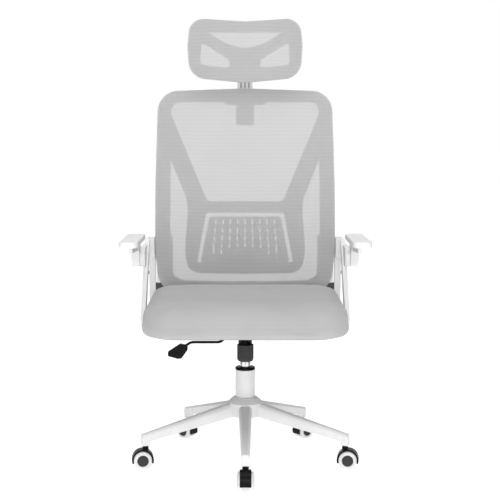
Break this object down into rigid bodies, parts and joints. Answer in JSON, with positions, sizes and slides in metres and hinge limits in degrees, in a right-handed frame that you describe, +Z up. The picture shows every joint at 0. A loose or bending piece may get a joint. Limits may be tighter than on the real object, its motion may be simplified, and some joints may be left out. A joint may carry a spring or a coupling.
{
  "type": "office chair",
  "caption": "Swivel office chair with an open mesh back on a white frame, a padded grey seat, a tilting headrest, flip-up arms and a star base on casters.",
  "frame": {"origin": "on the floor, on the axis of the gas column, which is the centre of the chair's outline on the floor", "axes": "+Z up, the chair faces -Y, +X to the right of someone who looks at its front"},
  "size_m": [0.598, 0.5778, 1.127],
  "materials": {
    "white_nylon": "satin moulded nylon",
    "white_plastic": "satin moulded plastic",
    "white_paint": "satin powder coat",
    "white_tyre": "smooth tread",
    "arm_pad_skin": "soft-touch skin",
    "black_plastic": "fine grain",
    "black_steel": "semi-gloss paint",
    "bright_steel": "ground",
    "chrome_steel": "polished",
    "seat_fabric": "knitted mesh over foam",
    "back_fabric": "open woven mesh"
  },
  "bodies": {
    "base": {"star_base": "white_nylon", "column_tube": "white_paint", "column_bushing": "black_plastic", "thrust_bearing": "bright_steel", "caster_1_stem": "black_steel", "caster_2_stem": "black_steel", "caster_3_stem": "black_steel", "caster_4_stem": "black_steel", "caster_5_stem": "black_steel"},
    "column_rod": {"piston_rod": "bright_steel", "retaining_clip": "bright_steel"},
    "lift": {"gas_cylinder": "chrome_steel", "mechanism_housing": "black_steel", "tilt_pin": "bright_steel", "tension_spring": "black_steel"},
    "release_pin": {"release_pin": "bright_steel"},
    "lever_pivot": {"lever_bush": "black_plastic"},
    "lever": {"lever_rod": "black_steel", "lever_paddle": "black_plastic"},
    "seat": {"tilt_plate": "black_steel", "seat_board": "black_plastic", "seat_cushion": "seat_fabric", "back_frame": "white_plastic", "back_rail": "black_plastic", "back_mesh": "back_fabric", "lumbar_pin": "bright_steel", "arm_support_left": "white_plastic", "arm_support_right": "white_plastic", "arm_pin_left": "bright_steel", "arm_pin_right": "bright_steel"},
    "tension_knob": {"tension_knob": "black_plastic"},
    "arm_left": {"arm_bracket_left": "white_plastic", "arm_pad_left": "arm_pad_skin"},
    "arm_right": {"arm_bracket_right": "white_plastic", "arm_pad_right": "arm_pad_skin"},
    "lumbar": {"lumbar_pad": "white_plastic"},
    "headrest_carrier": {"headrest_post": "white_plastic", "headrest_pin": "bright_steel"},
    "headrest": {"headrest_frame": "white_plastic", "headrest_mesh": "back_fabric"},
    "caster_1": {"caster_1_hood": "black_plastic", "caster_1_axle": "bright_steel"},
    "caster_1_left_wheel": {"caster_1_wheel_left": "white_tyre"},
    "caster_1_right_wheel": {"caster_1_wheel_right": "white_tyre"},
    "caster_2": {"caster_2_hood": "black_plastic", "caster_2_axle": "bright_steel"},
    "caster_2_left_wheel": {"caster_2_wheel_left": "white_tyre"},
    "caster_2_right_wheel": {"caster_2_wheel_right": "white_tyre"},
    "caster_3": {"caster_3_hood": "black_plastic", "caster_3_axle": "bright_steel"},
    "caster_3_left_wheel": {"caster_3_wheel_left": "white_tyre"},
    "caster_3_right_wheel": {"caster_3_wheel_right": "white_tyre"},
    "caster_4": {"caster_4_hood": "black_plastic", "caster_4_axle": "bright_steel"},
    "caster_4_left_wheel": {"caster_4_wheel_left": "white_tyre"},
    "caster_4_right_wheel": {"caster_4_wheel_right": "white_tyre"},
    "caster_5": {"caster_5_hood": "black_plastic", "caster_5_axle": "bright_steel"},
    "caster_5_left_wheel": {"caster_5_wheel_left": "white_tyre"},
    "caster_5_right_wheel": {"caster_5_wheel_right": "white_tyre"}
  },
  "joints": [
    {"name": "seat_swivel", "type": "hinge", "parent": "base", "child": "column_rod", "pos_m": [0, 0, 0.13], "axis": [0, 0, 1], "continuous": true},
    {"name": "seat_height", "type": "slide", "parent": "column_rod", "child": "lift", "axis": [0, 0, 1], "range_m": [0, 0.08]},
    {"name": "pin_press", "type": "slide", "parent": "lift", "child": "release_pin", "axis": [0, 0, -1], "range_m": [0, 0.003]},
    {"name": "lever_lift", "type": "hinge", "parent": "lift", "child": "lever_pivot", "pos_m": [-0.034, 0, 0.3215], "axis": [0, 1, 0], "range_deg": [0, 5], "stiffness_Nm_per_rad": 2, "springref_deg": -5.73},
    {"name": "tilt_lock", "type": "slide", "parent": "lever_pivot", "child": "lever", "axis": [-1, 0, 0], "range_m": [0, 0.014]},
    {"name": "seat_tilt", "type": "hinge", "parent": "lift", "child": "seat", "pos_m": [0, -0.045, 0.334], "axis": [-1, 0, 0], "range_deg": [0, 14], "stiffness_Nm_per_rad": 160, "springref_deg": -11.46, "deforming": ["tension_spring"]},
    {"name": "tension_turn", "type": "hinge", "parent": "seat", "child": "tension_knob", "pos_m": [0, -0.1, 0.294], "axis": [0, 0, 1], "range_deg": [-720, 720]},
    {"name": "lumbar_flex", "type": "hinge", "parent": "seat", "child": "lumbar", "pos_m": [0, 0.19562, 0.4885], "axis": [-1, 0, 0], "range_deg": [0, 5], "stiffness_Nm_per_rad": 20, "springref_deg": -3.44},
    {"name": "arm_flip_left", "type": "hinge", "parent": "seat", "child": "arm_left", "pos_m": [-0.2728, 0.0785, 0.5105], "axis": [-1, 0, 0], "range_deg": [0, 90]},
    {"name": "arm_flip_right", "type": "hinge", "parent": "seat", "child": "arm_right", "pos_m": [0.2728, 0.0785, 0.5105], "axis": [-1, 0, 0], "range_deg": [0, 90]},
    {"name": "headrest_height", "type": "slide", "parent": "seat", "child": "headrest_carrier", "axis": [0, 0.2386, 0.9711], "range_m": [-0.01, 0.05]},
    {"name": "headrest_tilt", "type": "hinge", "parent": "headrest_carrier", "child": "headrest", "pos_m": [0, 0.27, 1.006], "axis": [1, 0, 0], "range_deg": [-20, 20]},
    {"name": "caster_1_swivel", "type": "hinge", "parent": "base", "child": "caster_1", "pos_m": [0, -0.26, 0.045], "axis": [0, 0, 1], "continuous": true},
    {"name": "caster_1_left_roll", "type": "hinge", "parent": "caster_1", "child": "caster_1_left_wheel", "pos_m": [0, -0.267, 0.0225], "axis": [1, 0, 0], "continuous": true},
    {"name": "caster_1_right_roll", "type": "hinge", "parent": "caster_1", "child": "caster_1_right_wheel", "pos_m": [0, -0.267, 0.0225], "axis": [1, 0, 0], "continuous": true},
    {"name": "caster_2_swivel", "type": "hinge", "parent": "base", "child": "caster_2", "pos_m": [0.24727, -0.08034, 0.045], "axis": [0, 0, 1], "continuous": true},
    {"name": "caster_2_left_roll", "type": "hinge", "parent": "caster_2", "child": "caster_2_left_wheel", "pos_m": [0.25422, -0.0812, 0.0225], "axis": [0.1219, 0.9925, 0], "continuous": true},
    {"name": "caster_2_right_roll", "type": "hinge", "parent": "caster_2", "child": "caster_2_right_wheel", "pos_m": [0.25422, -0.0812, 0.0225], "axis": [0.1219, 0.9925, 0], "continuous": true},
    {"name": "caster_3_swivel", "type": "hinge", "parent": "base", "child": "caster_3", "pos_m": [0.15282, 0.21034, 0.045], "axis": [0, 0, 1], "continuous": true},
    {"name": "caster_3_left_roll", "type": "hinge", "parent": "caster_3", "child": "caster_3_left_wheel", "pos_m": [0.15834, 0.21465, 0.0225], "axis": [-0.6157, 0.788, 0], "continuous": true},
    {"name": "caster_3_right_roll", "type": "hinge", "parent": "caster_3", "child": "caster_3_right_wheel", "pos_m": [0.15834, 0.21465, 0.0225], "axis": [-0.6157, 0.788, 0], "continuous": true},
    {"name": "caster_4_swivel", "type": "hinge", "parent": "base", "child": "caster_4", "pos_m": [-0.15282, 0.21034, 0.045], "axis": [0, 0, 1], "continuous": true},
    {"name": "caster_4_left_roll", "type": "hinge", "parent": "caster_4", "child": "caster_4_left_wheel", "pos_m": [-0.15834, 0.21465, 0.0225], "axis": [-0.6157, -0.788, 0], "continuous": true},
    {"name": "caster_4_right_roll", "type": "hinge", "parent": "caster_4", "child": "caster_4_right_wheel", "pos_m": [-0.15834, 0.21465, 0.0225], "axis": [-0.6157, -0.788, 0], "continuous": true},
    {"name": "caster_5_swivel", "type": "hinge", "parent": "base", "child": "caster_5", "pos_m": [-0.24727, -0.08034, 0.045], "axis": [0, 0, 1], "continuous": true},
    {"name": "caster_5_left_roll", "type": "hinge", "parent": "caster_5", "child": "caster_5_left_wheel", "pos_m": [-0.25422, -0.0812, 0.0225], "axis": [0.1219, -0.9925, 0], "continuous": true},
    {"name": "caster_5_right_roll", "type": "hinge", "parent": "caster_5", "child": "caster_5_right_wheel", "pos_m": [-0.25422, -0.0812, 0.0225], "axis": [0.1219, -0.9925, 0], "continuous": true}
  ],
  "couplings": [
    {"joint": "pin_press", "follows": "lever_lift", "m_per_rad": 0.034}
  ]
}
